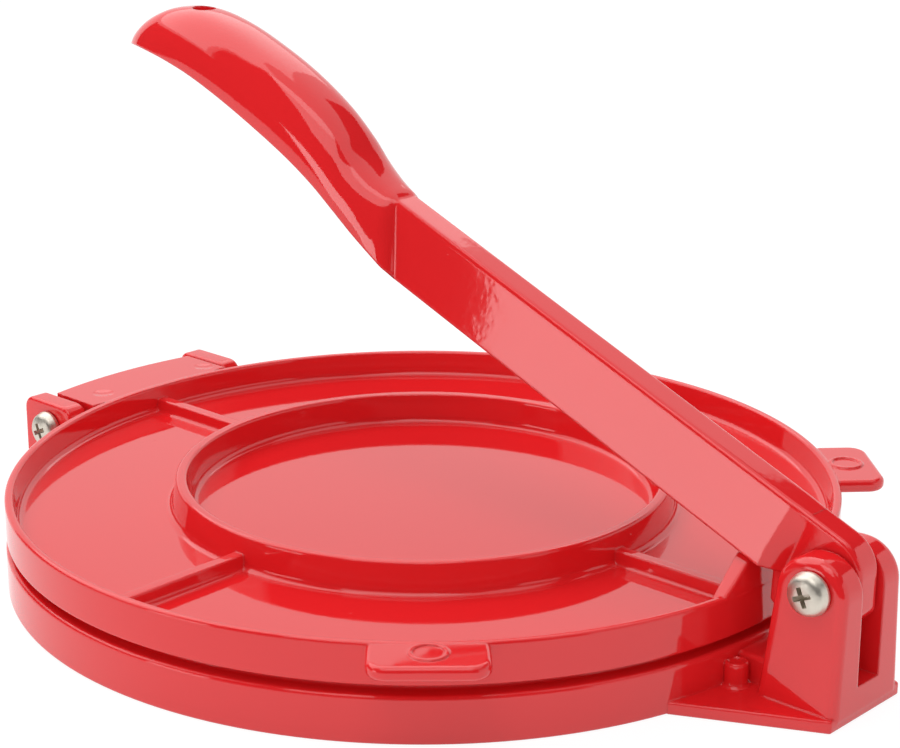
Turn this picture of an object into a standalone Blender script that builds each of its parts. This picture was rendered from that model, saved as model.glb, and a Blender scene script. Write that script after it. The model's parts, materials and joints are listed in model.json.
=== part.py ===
"""Eight inch tortilla press in cast aluminium: base, upper plate, lever and their bolts.

Metres, +Z up. The origin is the centre of the footprint, on the surface that the press stands on.
+X runs from the plate hinge to the lever's clevis, and the press is symmetric about y = 0 but for
the bolts. It rests closed, with the underside of the lever lying on the pad of the upper plate.
Turned and drawn shapes are laid out about the centre of the round plates.
"""

import math

import bmesh
import bpy
from mathutils import Matrix, Vector

# Round plates, all radii from the plate centre
plate_radius = 0.1040
base_overhang = 0.0002
shoulder_width = 0.0042
turning_steps = 72

# Tolerances of the drawn shapes
weld_distance = 0.000001
turned_weld_distance = 0.00001
flat_angle = math.radians(0.5)
bevelled_angle = math.radians(40.0)

# Heights of the base
base_shoulder_height = 0.0112
base_platform_height = 0.0132
base_web = 0.0038
base_wall = 0.0030
foot_trim = 0.0010
edge_round = 0.0009
fillet_round = 0.0016
plate_seat_gap = 0.0003

# Heights of the upper plate above its own pressing face
plate_web = 0.0029
plate_rim_height = 0.0098
plate_rim_land = 0.0021
plate_rim_draft = 0.0008
ring_radius_share = 0.5971
ring_land = 0.0026
ring_rise = 0.0008
ring_draft = 0.0013
rib_height = 0.0034
rib_width = 0.0044
rib_foot_spread = 0.0012
rib_embed = 0.0010
rib_count = 4

# Hinge of the upper plate, at the -X side
hinge_overhang = 0.0192
hinge_pin_inset = 0.0112
hinge_pin_rise = 0.0025
knuckle_overhang = 0.0163
knuckle_half_width = 0.0240
knuckle_setback = 0.0002
knuckle_drop = 0.0055
knuckle_heel_round = 0.0050
knuckle_toe_run = 0.0030
knuckle_toe_round = 0.0030
knuckle_neck = 0.0012
hinge_side_gap = 0.0012
hinge_ear_width = 0.0062
hinge_ear_round = 0.0034
hinge_ear_nose_round = 0.0040
hinge_ear_edge_round = 0.0009
hinge_ear_root_drop = 0.0006
hinge_ear_swing_gap = 0.0020
hinge_sill_height = 0.0030
sill_setback = 0.0015

# Lift tabs of the upper plate
tab_angle = math.radians(46.3)
tab_width = 0.0262
tab_reach = 0.0115
tab_thickness = 0.0033
tab_setback = 0.0002
tab_corner = 0.0045

# Contact pad on the rim of the upper plate, under the lever
pad_depth = 0.0045
pad_setback = 0.0003
pad_top_half_width = 0.0055
pad_foot_half_width = 0.0145
contact_gap = 0.0003

# Clevis of the base, at the +X side
clevis_overhang = 0.0273
pivot_inset = 0.0080
pivot_height = 0.0300
clevis_foot_half_width = 0.0132
clevis_head_half_width = 0.0114
clevis_foot_length = 0.0208
clevis_waist_length = 0.0170
clevis_head_rise = 0.0070
clevis_head_round = 0.0084
clevis_edge_round = 0.0024
slot_half_width = 0.0041
slot_floor_height = 0.0080
neck_half_width = 0.0090
neck_height = 0.0095
apron_height = 0.0030
apron_corner_spread = 0.0003
apron_spread_angle = math.radians(16.5)
post_radius = 0.0027
post_steps = 20
post_height = 0.0086
post_offset = 0.0011
post_side = 0.0118

# Lever, measured from its pin: along the beam and above or below the pin
lever_angle = math.radians(22.0)
lever_length = 0.2475
beam_rise = 0.0098
beam_drop = 0.0061
beam_top_half_width = 0.0037
beam_foot_half_width = 0.0078
beam_start = 0.0157
beam_facet_length = 0.0045
beam_end_share = 0.5645
lever_wall = 0.0030
tongue_half_width = 0.0037
tongue_nose_round = 0.0088
tongue_nose_shift = 0.0016
tongue_front_reach = 0.0162
tongue_foot_drop = 0.0110
tongue_heel_run = 0.0020
tongue_corner = 0.0035
tongue_overlap = 0.0060
grip_rise = 0.0227
grip_half_width = 0.0122
grip_hole_radius = 0.0031
grip_hole_inset = 0.0205
section_half_points = 6
arch_side_power = 0.8
arch_crown_power = 0.9

# Screws, washers and nuts, metric M5
screw_radius = 0.0025
screw_head_radius = 0.0050
screw_head_height = 0.0037
screw_head_round = 0.0016
screw_hole_clearance = 0.0002
screw_head_gap = 0.0003
screw_point_chamfer = 0.0006
screw_turning_steps = 32
cross_length = 0.0050
cross_width = 0.0011
cross_depth = 0.0016
washer_radius = 0.0050
washer_thickness = 0.0010
stack_gap = 0.0003
nut_across_flats = 0.0080
nut_height = 0.0036
nut_collar_radius = 0.0035
nut_collar_height = 0.0010
nut_pocket_clearance = 0.0004
screw_tail = 0.0008
arc_points = 5
cut_overrun = 0.0050

# Sizes and places that follow from those above
base_radius = plate_radius + base_overhang
platform_radius = base_radius - shoulder_width
ring_outer_radius = plate_radius * ring_radius_share
hinge_reach = plate_radius + hinge_overhang
clevis_reach = base_radius + clevis_overhang
post_distance = base_radius + post_offset
beam_end = lever_length * beam_end_share
plate_underside = base_platform_height + plate_seat_gap
rim_top = plate_underside + plate_rim_height
plate_floor = plate_underside + plate_web
hinge_pin_height = plate_underside + hinge_pin_rise
disc_x = (hinge_reach - clevis_reach) / 2
hinge_pin_x = -(hinge_reach - hinge_pin_inset)
knuckle_reach = plate_radius + knuckle_overhang
pivot_x = clevis_reach - pivot_inset
contact_arm = pivot_x - plate_radius
pad_top = pivot_height + (
    contact_arm * math.sin(lever_angle) - beam_drop - contact_gap
) / math.cos(lever_angle)
hinge_ear_inner = knuckle_half_width + hinge_side_gap
hinge_ear_outer = hinge_ear_inner + hinge_ear_width
hinge_ear_nose = math.sqrt((plate_radius + hinge_ear_swing_gap) ** 2 - hinge_ear_inner ** 2)
hinge_ear_root = math.sqrt((base_radius - base_wall / 4) ** 2 - hinge_ear_outer ** 2)
clevis_head_top = pivot_height + clevis_head_rise
clevis_draft = (clevis_foot_half_width - clevis_head_half_width) / clevis_head_top
clevis_face = clevis_foot_half_width - clevis_draft * pivot_height
nut_pocket_floor = clevis_face - nut_height - 2 * stack_gap
screw_hole_radius = screw_radius + screw_hole_clearance


def clear_scene():
    for old in list(bpy.data.objects):
        bpy.data.objects.remove(old, do_unlink=True)


def new_collection(name):
    collection = bpy.data.collections.new(name)
    bpy.context.scene.collection.children.link(collection)
    return collection


clear_scene()
parts = new_collection("tortilla_press")
cutters = new_collection("cutters")


def new_empty(name, place):
    empty = bpy.data.objects.new(name, None)
    empty.location = place
    parts.objects.link(empty)
    return empty


disc_centre = new_empty("disc_centre", (disc_x, 0, 0))
hinge_axis = new_empty("hinge_axis", (disc_x + hinge_pin_x, 0, hinge_pin_height))
lever_axis = new_empty("lever_axis", (disc_x + pivot_x, 0, pivot_height))


# Materials


def new_material(name, colour, roughness, metallic):
    material = bpy.data.materials.new(name)
    material.use_nodes = True
    shader = material.node_tree.nodes["Principled BSDF"]
    shader.inputs["Base Color"].default_value = (*colour, 1.0)
    shader.inputs["Roughness"].default_value = roughness
    shader.inputs["Metallic"].default_value = metallic
    return material


red_enamel = new_material("red_enamelled_aluminium", (0.62, 0.008, 0.012), 0.22, 0.0)
bright_nickel = new_material("nickel_plated_steel", (0.66, 0.62, 0.56), 0.30, 1.0)


# Shape tools


def mesh_object(name, mesh, material, collection):
    new = bpy.data.objects.new(name, mesh)
    mesh.materials.append(material)
    collection.objects.link(new)
    if collection is cutters:
        new.hide_render = True
        new.display_type = "WIRE"
    return new


def settle(part, parent, place=(0, 0, 0), turn=(0, 0, 0)):
    part.parent = parent
    part.location = place
    part.rotation_euler = turn
    return part


def place_from(axis):
    """The plate centre, on the ground, seen from an axis empty."""
    return Vector(disc_centre.location) - Vector(axis.location)


def rounded(corners):
    """Points of a path whose corners (a, b, radius) are eased with arcs; zero keeps a corner."""
    points = []
    last = len(corners) - 1
    for index, (a, b, radius) in enumerate(corners):
        here = Vector((a, b))
        if radius == 0 or index in (0, last):
            points.append(here)
            continue
        before = (Vector(corners[index - 1][:2]) - here).normalized()
        after = (Vector(corners[index + 1][:2]) - here).normalized()
        half = before.angle(after) / 2
        reach = radius / math.tan(half)
        centre = here + (before + after).normalized() * radius / math.sin(half)
        start = here + before * reach - centre
        sweep = (math.pi - 2 * half) * math.copysign(1, before.cross(after))
        for step in range(arc_points):
            turn = Matrix.Rotation(-sweep * step / (arc_points - 1), 2)
            points.append(centre + turn @ start)
    return points


def closed_outline(corners):
    """The same for a closed outline: every corner may be eased."""
    ring = [corners[-1], *corners, corners[0]]
    return rounded(ring)[1:-1]


def turned(name, profile, steps, material, collection):
    """A solid turned about Z from a profile (radius, height) that runs down its outer side."""
    mesh = bpy.data.meshes.new(name)
    points = list(profile)
    edges = [(index, index + 1) for index in range(len(points) - 1)]
    if points[0] == points[-1]:
        points.pop()
        edges[-1] = (len(points) - 1, 0)
    mesh.from_pydata([(radius, 0, height) for radius, height in points], edges, [])
    part = mesh_object(name, mesh, material, collection)
    screw = part.modifiers.new("turn", "SCREW")
    screw.axis = "Z"
    screw.steps = steps
    screw.render_steps = steps
    screw.use_merge_vertices = True
    screw.merge_threshold = turned_weld_distance
    screw.use_smooth_shade = True
    return part


def flat_solid(name, outline, thickness, material, collection):
    """A flat outline in XY, extruded by its thickness and centred on z = 0."""
    curve = bpy.data.curves.new(name, "CURVE")
    curve.dimensions = "2D"
    curve.fill_mode = "BOTH"
    curve.extrude = thickness / 2
    spline = curve.splines.new("POLY")
    spline.points.add(len(outline) - 1)
    for point, (x, y) in zip(spline.points, outline):
        point.co = (x, y, 0, 1)
    spline.use_cyclic_u = True
    drawn = bpy.data.objects.new(name + "_outline", curve)
    bpy.context.scene.collection.objects.link(drawn)
    bpy.context.view_layer.update()
    mesh = bpy.data.meshes.new_from_object(drawn.evaluated_get(bpy.context.evaluated_depsgraph_get()))
    bpy.data.objects.remove(drawn, do_unlink=True)
    bpy.data.curves.remove(curve)
    mesh.name = name
    weld(mesh)
    return mesh_object(name, mesh, material, collection)


def weld(mesh):
    work = bmesh.new()
    work.from_mesh(mesh)
    bmesh.ops.remove_doubles(work, verts=work.verts, dist=weld_distance)
    bmesh.ops.dissolve_limit(work, angle_limit=flat_angle, verts=work.verts, edges=work.edges)
    bmesh.ops.recalc_face_normals(work, faces=work.faces)
    work.to_mesh(mesh)
    work.free()


def upright(part):
    """Turn a drawn solid so that its outline lies in XZ and its thickness along Y."""
    part.data.transform(Matrix.Rotation(math.pi / 2, 4, "X"))
    return part


def block(name, low, high, collection, material=None):
    work = bmesh.new()
    bmesh.ops.create_cube(work, size=1)
    size = Vector(high) - Vector(low)
    middle = (Vector(high) + Vector(low)) / 2
    bmesh.ops.scale(work, vec=size, verts=work.verts)
    bmesh.ops.translate(work, vec=middle, verts=work.verts)
    mesh = bpy.data.meshes.new(name)
    work.to_mesh(mesh)
    work.free()
    return mesh_object(name, mesh, material or red_enamel, collection)


def rod(name, radius, length, collection, steps=screw_turning_steps):
    """A cylinder along Z, centred on its origin."""
    work = bmesh.new()
    bmesh.ops.create_cone(
        work, cap_ends=True, segments=steps, radius1=radius, radius2=radius, depth=length
    )
    mesh = bpy.data.meshes.new(name)
    work.to_mesh(mesh)
    work.free()
    return mesh_object(name, mesh, red_enamel, collection)


def cross_rod(name, radius, length, collection):
    """A cylinder along Y, centred on its origin."""
    part = rod(name, radius, length, collection)
    part.data.transform(Matrix.Rotation(math.pi / 2, 4, "X"))
    return part


def hexagon_solid(name, across_flats, height, collection):
    """A hexagonal prism that stands on z = 0."""
    corner = across_flats / math.sqrt(3)
    outline = [
        (corner * math.cos(math.radians(60 * side)), corner * math.sin(math.radians(60 * side)))
        for side in range(6)
    ]
    prism = flat_solid(name, outline, height, bright_nickel, collection)
    prism.data.transform(Matrix.Translation((0, 0, height / 2)))
    return prism


def combine(part, tool, operation):
    boolean = part.modifiers.new(tool.name, "BOOLEAN")
    boolean.operation = operation
    boolean.solver = "EXACT"
    boolean.object = tool
    tool.hide_set(True)


def join(part, *tools):
    for tool in tools:
        combine(part, tool, "UNION")


def cut(part, *tools):
    for tool in tools:
        combine(part, tool, "DIFFERENCE")


def bevel(part, width, segments=2):
    ease = part.modifiers.new("eased_edges", "BEVEL")
    ease.width = width
    ease.segments = segments
    ease.limit_method = "ANGLE"
    ease.angle_limit = bevelled_angle
    return part


def taper_across(part, low, high, foot_half, head_half):
    """Draft the side faces of an upright solid from foot_half at low to head_half at high."""
    for vertex in part.data.vertices:
        share = (vertex.co.z - low) / (high - low)
        vertex.co.y = math.copysign(foot_half + (head_half - foot_half) * share, vertex.co.y)
    return part


# Base


def base_profile():
    """Half section of the base: platform, shoulder, rim and the hollow underside with its ring."""
    inner = base_radius - base_wall
    shoulder_ceiling = base_shoulder_height - base_web
    ceiling = base_platform_height - base_web
    step = platform_radius - base_web
    ring_inner = ring_outer_radius - ring_land
    ring_foot = base_web
    return rounded([
        (0, base_platform_height, 0),
        (platform_radius, base_platform_height, edge_round),
        (platform_radius, base_shoulder_height, 0),
        (base_radius, base_shoulder_height, edge_round),
        (base_radius, -foot_trim, 0),
        (inner, -foot_trim, 0),
        (inner, shoulder_ceiling, fillet_round),
        (step, shoulder_ceiling, 0),
        (step, ceiling, 0),
        (ring_outer_radius + ring_draft, ceiling, 0),
        (ring_outer_radius, ring_foot, 0),
        (ring_inner, ring_foot, 0),
        (ring_inner - ring_draft, ceiling, 0),
        (0, ceiling, 0),
    ])


def radial_ribs(name, end, foot, top, spread_at_foot):
    """Four straight ribs from the ring into the rim; their sides spread towards the web."""
    ribs = []
    start = ring_outer_radius - rib_embed
    for index in range(rib_count):
        rib = block(f"{name}_{index + 1}", (start, -1, foot), (end, 1, top), cutters)
        wide = rib_width / 2 + rib_foot_spread
        narrow = rib_width / 2
        at_low, at_high = (wide, narrow) if spread_at_foot else (narrow, wide)
        taper_across(rib, foot, top, at_low, at_high)
        turn = 2 * math.pi * index / rib_count
        rib.data.transform(Matrix.Rotation(turn, 4, "Z"))
        ribs.append(rib)
    return ribs


def clevis_block():
    """Upright block that carries the lever: rounded head, slanted front and draft on both sides."""
    front_foot = clevis_reach - clevis_foot_length
    front_waist = clevis_reach - clevis_waist_length
    outline = closed_outline([
        (clevis_reach, -2 * foot_trim, 0),
        (clevis_reach, clevis_head_top, clevis_head_round),
        (front_waist, clevis_head_top, clevis_head_round),
        (front_foot, -2 * foot_trim, 0),
    ])
    clevis = upright(flat_solid("clevis", outline, 1, red_enamel, cutters))
    taper_across(clevis, 0, clevis_head_top, clevis_foot_half_width, clevis_head_half_width)
    bevel(clevis, clevis_edge_round, 3)
    slot_high = clevis_head_top + cut_overrun
    slot = block(
        "clevis_slot",
        (front_foot - cut_overrun, -slot_half_width, slot_floor_height),
        (clevis_reach + cut_overrun, slot_half_width, slot_high),
        cutters,
    )
    cut(clevis, settle(slot, disc_centre))
    return clevis


def clevis_foot():
    """Flat apron that fans out of the rim to the clevis, the neck and the two ejector posts."""
    mid_wall = base_radius - base_wall / 2
    corner_y = clevis_foot_half_width + apron_corner_spread
    outline = [
        (clevis_reach, corner_y),
        (base_radius * math.cos(apron_spread_angle), base_radius * math.sin(apron_spread_angle)),
    ]
    for step in range(2 * arc_points):
        angle = apron_spread_angle * (1 - 2 * step / (2 * arc_points - 1))
        outline.append((mid_wall * math.cos(angle), mid_wall * math.sin(angle)))
    outline.extend([
        (base_radius * math.cos(apron_spread_angle), -base_radius * math.sin(apron_spread_angle)),
        (clevis_reach, -corner_y),
    ])
    depth = 3 * foot_trim
    apron = flat_solid("apron", outline, apron_height + depth, red_enamel, cutters)
    apron.data.transform(Matrix.Translation((0, 0, (apron_height - depth) / 2)))
    neck = block(
        "neck",
        (mid_wall, -neck_half_width, -4 * foot_trim),
        (clevis_reach - clevis_waist_length, neck_half_width, neck_height),
        cutters,
    )
    pieces = [apron, neck]
    for side in (-1, 1):
        post = rod(f"ejector_post_{side}", post_radius, post_height, cutters, steps=post_steps)
        post.data.transform(Matrix.Translation((post_distance, side * post_side, post_height / 2)))
        pieces.append(post)
    return pieces


def hinge_ears():
    """Two ears, as high as the plate's rim and rooted in the base's, and the sill between them."""
    root_top = base_shoulder_height - hinge_ear_root_drop
    pieces = []
    for side in (-1, 1):
        outline = closed_outline([
            (-hinge_reach, -2 * foot_trim, 0),
            (-hinge_ear_root, -2 * foot_trim, 0),
            (-hinge_ear_root, root_top, 0),
            (-hinge_ear_nose, root_top, 0),
            (-hinge_ear_nose, rim_top, hinge_ear_nose_round),
            (-hinge_reach, rim_top, hinge_ear_round),
        ])
        ear = upright(flat_solid(f"hinge_ear_{side}", outline, hinge_ear_width, red_enamel, cutters))
        middle = side * (hinge_ear_inner + hinge_ear_width / 2)
        ear.data.transform(Matrix.Translation((0, middle, 0)))
        bevel(ear, hinge_ear_edge_round)
        pieces.append(ear)
    sill = block(
        "hinge_sill",
        (-hinge_reach + sill_setback, -hinge_ear_inner - rib_embed, -3 * foot_trim),
        (-base_radius + base_wall / 2, hinge_ear_inner + rib_embed, hinge_sill_height),
        cutters,
    )
    pieces.append(sill)
    return pieces


def nut_pocket():
    """Hexagonal recess in the far side of the clevis, which holds the lever's lock nut."""
    depth = clevis_face + cut_overrun - nut_pocket_floor
    pocket = hexagon_solid("nut_pocket", nut_across_flats + 2 * nut_pocket_clearance, depth, cutters)
    return settle(pocket, lever_axis, (0, nut_pocket_floor, 0), (-math.pi / 2, 0, 0))


def make_base():
    base = turned("base", base_profile(), turning_steps, red_enamel, parts)
    settle(base, disc_centre)
    rib_end = base_radius - base_wall / 2
    rib_root = (base_shoulder_height + base_platform_height - base_web) / 2
    ribs = radial_ribs("underside_rib", rib_end, base_web, rib_root, False)
    tools = [*ribs, clevis_block(), *clevis_foot(), *hinge_ears()]
    for tool in tools:
        settle(tool, disc_centre)
    join(base, *tools)
    lever_bore = cross_rod("lever_bore", screw_hole_radius, 4 * clevis_foot_half_width, cutters)
    settle(lever_bore, lever_axis)
    hinge_bore = cross_rod("ear_bore", screw_hole_radius, 4 * hinge_ear_outer, cutters)
    settle(hinge_bore, hinge_axis)
    pocket = nut_pocket()
    span = 2 * clevis_reach
    ground = block("ground", (-span, -span, -span), (span, span, 0), cutters)
    cut(base, lever_bore, hinge_bore, pocket, settle(ground, disc_centre))
    return base


# Upper plate


def plate_profile():
    """Half section of the upper plate: centre field, ring, outer field, rim and flat underside."""
    rim_inner = plate_radius - plate_rim_land
    ring_inner = ring_outer_radius - ring_land
    ring_top = rim_top + ring_rise
    return rounded([
        (0, plate_floor, 0),
        (ring_inner - ring_draft, plate_floor, fillet_round),
        (ring_inner, ring_top, edge_round),
        (ring_outer_radius, ring_top, edge_round),
        (ring_outer_radius + ring_draft, plate_floor, fillet_round),
        (rim_inner - plate_rim_draft, plate_floor, fillet_round),
        (rim_inner, rim_top, edge_round),
        (plate_radius, rim_top, edge_round),
        (plate_radius, plate_underside, edge_round),
        (0, plate_underside, 0),
    ])


def knuckle_block():
    """Hinge knuckle: flush with the rim, bulged under the pin, its outer edge an arc about the plate."""
    inner_end = plate_radius - plate_rim_land
    top = rim_top - knuckle_setback
    underside = plate_underside + knuckle_setback
    low = hinge_pin_height - knuckle_drop
    outline = closed_outline([
        (-inner_end, underside, 0),
        (-inner_end, top, 0),
        (-knuckle_reach, top, edge_round),
        (-knuckle_reach, low, knuckle_heel_round),
        (hinge_pin_x + knuckle_toe_run, low, knuckle_toe_round),
        (-plate_radius - knuckle_neck, underside, 0),
    ])
    knuckle = upright(flat_solid("knuckle", outline, 2 * knuckle_half_width, red_enamel, cutters))
    trim = rod("knuckle_trim", knuckle_reach, 4 * rim_top, cutters, steps=3 * turning_steps)
    settle(trim, hinge_axis, place_from(hinge_axis))
    combine(knuckle, trim, "INTERSECT")
    return knuckle


def lift_tab(side):
    """Flat tab with rounded corners that stands out of the rim, flush with its top."""
    half = tab_width / 2
    inner = plate_radius - 3 * plate_rim_land / 4
    outer = plate_radius + tab_reach
    outline = closed_outline([
        (inner, -half, 0),
        (outer, -half, tab_corner),
        (outer, half, tab_corner),
        (inner, half, 0),
    ])
    tab = flat_solid(f"lift_tab_{side}", outline, tab_thickness, red_enamel, cutters)
    lift = Matrix.Translation((0, 0, rim_top - tab_setback - tab_thickness / 2))
    tab.data.transform(Matrix.Rotation(side * tab_angle, 4, "Z") @ lift)
    return bevel(tab, edge_round)


def contact_pad():
    """Raised piece of the rim that the underside of the lever presses on."""
    inner = plate_radius - plate_rim_land - pad_depth / 2
    outline = [
        (pad_foot_half_width, plate_floor - plate_web / 2),
        (pad_foot_half_width, rim_top - edge_round),
        (pad_top_half_width, pad_top),
        (-pad_top_half_width, pad_top),
        (-pad_foot_half_width, rim_top - edge_round),
        (-pad_foot_half_width, plate_floor - plate_web / 2),
    ]
    depth = plate_radius - inner + cut_overrun
    pad = upright(flat_solid("contact_pad", outline, depth, red_enamel, cutters))
    quarter = Matrix.Rotation(math.pi / 2, 4, "Z")
    pad.data.transform(Matrix.Translation((inner + depth / 2, 0, 0)) @ quarter)
    trim = rod("pad_trim", plate_radius - pad_setback, 4 * pad_top, cutters, steps=turning_steps)
    settle(trim, hinge_axis, place_from(hinge_axis))
    combine(pad, trim, "INTERSECT")
    return pad


def make_upper_plate():
    plate = turned("upper_plate", plate_profile(), turning_steps, red_enamel, parts)
    seat = place_from(hinge_axis)
    settle(plate, hinge_axis, seat)
    rib_end = plate_radius - plate_rim_land / 2
    rib_root = plate_floor - plate_web / 2
    ribs = radial_ribs("plate_rib", rib_end, rib_root, plate_floor + rib_height, True)
    tools = [*ribs, knuckle_block(), lift_tab(-1), lift_tab(1), contact_pad()]
    for tool in tools:
        settle(tool, hinge_axis, seat)
    join(plate, *tools)
    bore = cross_rod("knuckle_bore", screw_hole_radius, 4 * knuckle_half_width, cutters)
    settle(bore, hinge_axis)
    cut(plate, bore)
    return plate


# Lever

# Down the grip: share of the lever's length, then the height of its crown and of its lower edge
# as shares of the grip's rise, its width as a share of the grip's half width, and how far its
# section has gone from the beam's wedge to the grip's arch
grip_shares = (
    (0.572, 0.450, -0.150, 0.820, 0.75),
    (0.600, 0.480, -0.065, 0.880, 1.00),
    (0.630, 0.545, 0.050, 0.920, 1.00),
    (0.662, 0.690, 0.150, 0.950, 1.00),
    (0.705, 0.835, 0.235, 0.975, 1.00),
    (0.760, 0.940, 0.295, 1.000, 1.00),
    (0.815, 0.965, 0.320, 1.000, 1.00),
    (0.862, 0.950, 0.310, 0.985, 1.00),
    (0.905, 0.865, 0.250, 0.930, 1.00),
    (0.940, 0.680, 0.160, 0.820, 1.00),
    (0.965, 0.440, 0.070, 0.660, 1.00),
    (0.983, 0.180, -0.030, 0.420, 1.00),
    (0.992, -0.020, -0.100, 0.160, 1.00),
)

# Half of the wedge section from its foot to the middle of the top: share of the half width that
# lies between the top's and the foot's, and share of the depth
wedge_shares = ((1.0, 0.0), (0.70, 0.33), (0.36, 0.68), (0.10, 0.90), (-0.05, 0.975), (-0.45, 1.0))


def lever_point(along, above):
    """A place on the lever, as (x, z) from its pin."""
    x = -along * math.cos(lever_angle) + above * math.sin(lever_angle)
    z = along * math.sin(lever_angle) + above * math.cos(lever_angle)
    return x, z


def half_section(foot_half, top_half, low, high, arched):
    """(y, above) from the foot of one side up to the middle, part wedge and part arch."""
    points = []
    for index in range(section_half_points):
        share, rise = wedge_shares[index]
        wedge_y = top_half + (foot_half - top_half) * max(share, 0) + top_half * min(share, 0)
        wedge_z = low + (high - low) * rise
        angle = math.pi / 2 * index / section_half_points
        arch_y = foot_half * math.cos(angle) ** arch_side_power
        arch_z = low + (high - low) * math.sin(angle) ** arch_crown_power
        points.append((
            wedge_y + (arch_y - wedge_y) * arched,
            wedge_z + (arch_z - wedge_z) * arched,
        ))
    points.append((0, high))
    return points


def lever_stations():
    """(along, foot half width, top half width, low, high, arched) from the tongue to the tip."""
    narrow = beam_top_half_width / beam_foot_half_width
    foot, top = beam_foot_half_width, beam_top_half_width
    stations = [
        (beam_start - beam_facet_length, top, top, -beam_drop, beam_rise, 0),
        (beam_start, foot, top, -beam_drop, beam_rise, 0),
        (beam_end, foot, top, -beam_drop, beam_rise, 0),
    ]
    for along, crown, edge, width, arched in grip_shares:
        half = grip_half_width * width
        low, high = grip_rise * edge, grip_rise * crown
        stations.append((lever_length * along, half, half * narrow, low, high, arched))
    return stations


def loft(name, sections, collection, tip=None):
    """A closed solid through (along, half section) rows, mirrored about y = 0."""
    work = bmesh.new()
    rows = []
    for along, half in sections:
        whole = [(-y, above) for y, above in half] + [(y, above) for y, above in half[-2::-1]]
        row = []
        for y, above in whole:
            x, z = lever_point(along, above)
            row.append(work.verts.new((x, y, z)))
        rows.append(row)
    for before, after in zip(rows, rows[1:]):
        for index in range(len(before)):
            other = (index + 1) % len(before)
            work.faces.new((before[index], after[index], after[other], before[other]))
    work.faces.new(rows[0])
    if tip:
        x, z = lever_point(*tip)
        point = work.verts.new((x, 0, z))
        for index in range(len(rows[-1])):
            other = (index + 1) % len(rows[-1])
            work.faces.new((rows[-1][index], point, rows[-1][other]))
    else:
        work.faces.new(rows[-1])
    bmesh.ops.recalc_face_normals(work, faces=work.faces)
    bmesh.ops.triangulate(work, faces=work.faces)
    mesh = bpy.data.meshes.new(name)
    work.to_mesh(mesh)
    work.free()
    return mesh_object(name, mesh, red_enamel, collection)


def lever_body():
    """Beam and grip as one solid."""
    outer = [(along, half_section(*shape)) for along, *shape in lever_stations()]
    tip = (lever_length, grip_rise * grip_shares[-1][2])
    return loft("lever", outer, parts, tip)


def lever_hollow():
    """The channel under beam and grip, which leaves one wall thickness."""
    hollow = []
    for along, foot, top, low, high, arched in lever_stations()[1:]:
        room = high - low - lever_wall
        if foot <= 2 * lever_wall or room <= lever_wall:
            continue
        inner_top = top * (foot - lever_wall) / foot / 2
        half = half_section(foot - lever_wall, inner_top, low, high - lever_wall, arched)
        half[0] = (half[0][0], low - lever_wall)
        hollow.append((max(along, beam_start + tongue_overlap), half))
    return loft("lever_hollow", hollow, cutters)


def lever_tongue():
    """Flat tongue between the clevis ears: nose about the pin, foot below and a root in the beam."""
    inside = beam_start + tongue_overlap
    skin = lever_wall / 2
    foot = -tongue_foot_drop
    front = -tongue_front_reach
    points = [Vector(lever_point(inside, beam_rise - skin))]
    nose_x, nose_z = lever_point(tongue_nose_shift, beam_rise - tongue_nose_round)
    for step in range(2 * arc_points):
        angle = math.pi / 2 - lever_angle - step * (math.pi / 2 - lever_angle) / (2 * arc_points - 1)
        points.append(Vector((
            nose_x + tongue_nose_round * math.cos(angle),
            nose_z + tongue_nose_round * math.sin(angle),
        )))
    heel_x = nose_x + tongue_nose_round
    points.append(Vector((heel_x, foot / 2)))
    points.append(Vector((tongue_heel_run, foot)))
    points.append(Vector((front + tongue_corner, foot)))
    points.append(Vector((front, foot + tongue_heel_run)))
    joint_along = (tongue_front_reach - beam_drop * math.sin(lever_angle)) / math.cos(lever_angle)
    points.append(Vector(lever_point(joint_along, -beam_drop + skin)))
    points.append(Vector(lever_point(inside, -beam_drop + skin)))
    tongue = flat_solid("tongue", points, 2 * tongue_half_width, red_enamel, cutters)
    return upright(tongue)


def make_lever():
    lever = lever_body()
    settle(lever, lever_axis)
    tongue = lever_tongue()
    settle(tongue, lever_axis)
    join(lever, tongue)
    hollow = lever_hollow()
    settle(hollow, lever_axis)
    bore = cross_rod("tongue_bore", screw_hole_radius, 4 * tongue_half_width, cutters)
    settle(bore, lever_axis)
    hole_along = lever_length - grip_hole_inset
    hole_x, hole_z = lever_point(hole_along, grip_rise)
    hole = rod("hanging_hole", grip_hole_radius, 2 * grip_rise, cutters)
    settle(hole, lever_axis, (hole_x, 0, hole_z))
    cut(lever, bore, hole, hollow)
    return lever


# Screws


def screw_profile(length):
    """Half section of a pan head screw: head above z = 0, shank below."""
    return rounded([
        (0, screw_head_height, 0),
        (screw_head_radius, screw_head_height, screw_head_round),
        (screw_head_radius, 0, 0),
        (screw_radius, 0, 0),
        (screw_radius, -length + screw_point_chamfer, 0),
        (screw_radius - screw_point_chamfer, -length, 0),
        (0, -length, 0),
    ])


def make_screw(name, axis, face, nut_seat):
    """Pan head screw whose head lies on the -Y face, with its cross recess, out through the nut."""
    seat = face + screw_head_gap
    length = seat + nut_seat + nut_height + screw_tail
    screw = turned(name, screw_profile(length), screw_turning_steps, bright_nickel, parts)
    settle(screw, axis, (0, -seat, 0), (math.pi / 2, 0, 0))
    for index, (wide, high) in enumerate(((cross_length, cross_width), (cross_width, cross_length))):
        low = (-wide / 2, -high / 2, screw_head_height - cross_depth)
        top = (wide / 2, high / 2, screw_head_height + cut_overrun)
        arm = block(f"{name}_cross_{index + 1}", low, top, cutters)
        settle(arm, axis, (0, -seat, 0), (math.pi / 2, 0, 0))
        cut(screw, arm)
    return screw


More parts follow.
